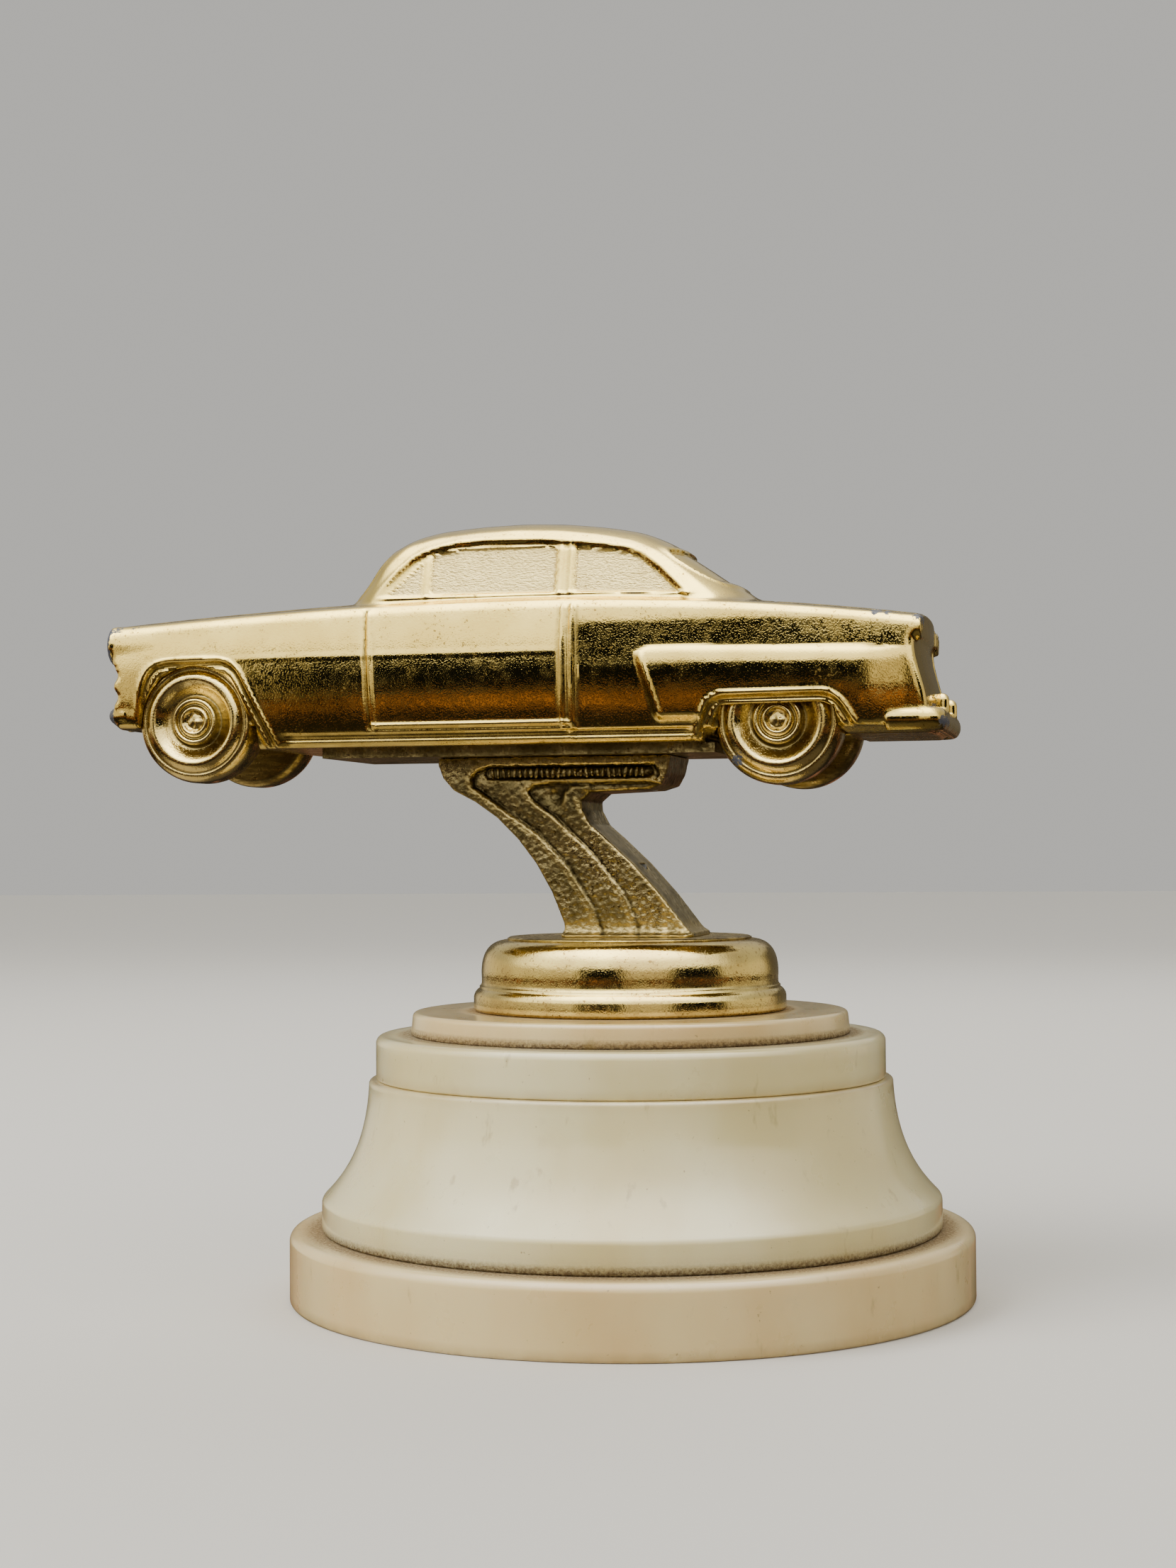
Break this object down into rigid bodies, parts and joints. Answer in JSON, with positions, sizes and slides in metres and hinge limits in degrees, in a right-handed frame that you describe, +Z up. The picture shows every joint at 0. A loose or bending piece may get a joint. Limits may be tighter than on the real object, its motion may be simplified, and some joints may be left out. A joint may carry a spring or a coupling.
{
  "type": "car figure on a stand",
  "caption": "Gold-plated saloon car figure on a slanted fluted strut and domed flange, bolted through a stepped round ivory moulded stand.",
  "frame": {"origin": "on the stand's axis, on the face that it rests on", "axes": "+Z up along the stand's axis; the car's nose points along -X and its left side faces -Y"},
  "size_m": [0.1457, 0.1142, 0.1296],
  "materials": {
    "ivory_foot": "moulded thermoset, dull polish",
    "ivory_bell": "moulded thermoset, dull polish",
    "plated_gold": "gold-tone plate on a polished zinc casting",
    "tarnished_gold": "dull gold-tone plate on an as-cast surface",
    "bare_steel": "plain steel"
  },
  "bodies": {
    "base": {"foot": "ivory_foot", "bell": "ivory_bell", "collar_ring": "ivory_bell", "top_disc": "ivory_foot", "clamp_washer": "bare_steel"},
    "figure": {"flange": "plated_gold", "strut": "tarnished_gold", "floor_plate": "tarnished_gold", "car_body": "plated_gold", "front_left_wheel": "plated_gold", "front_right_wheel": "plated_gold", "rear_left_wheel": "plated_gold", "rear_right_wheel": "plated_gold", "front_axle": "tarnished_gold", "rear_axle": "tarnished_gold", "saddle_screws": "bare_steel", "tie_rod": "bare_steel", "flange_nut": "bare_steel", "spring_washer": "bare_steel", "clamp_nut": "bare_steel"}
  },
  "joints": [
    {"name": "figure_turn", "type": "hinge", "parent": "base", "child": "figure", "pos_m": [0, 0, 0.0473], "axis": [0, 0, 1], "continuous": true}
  ]
}
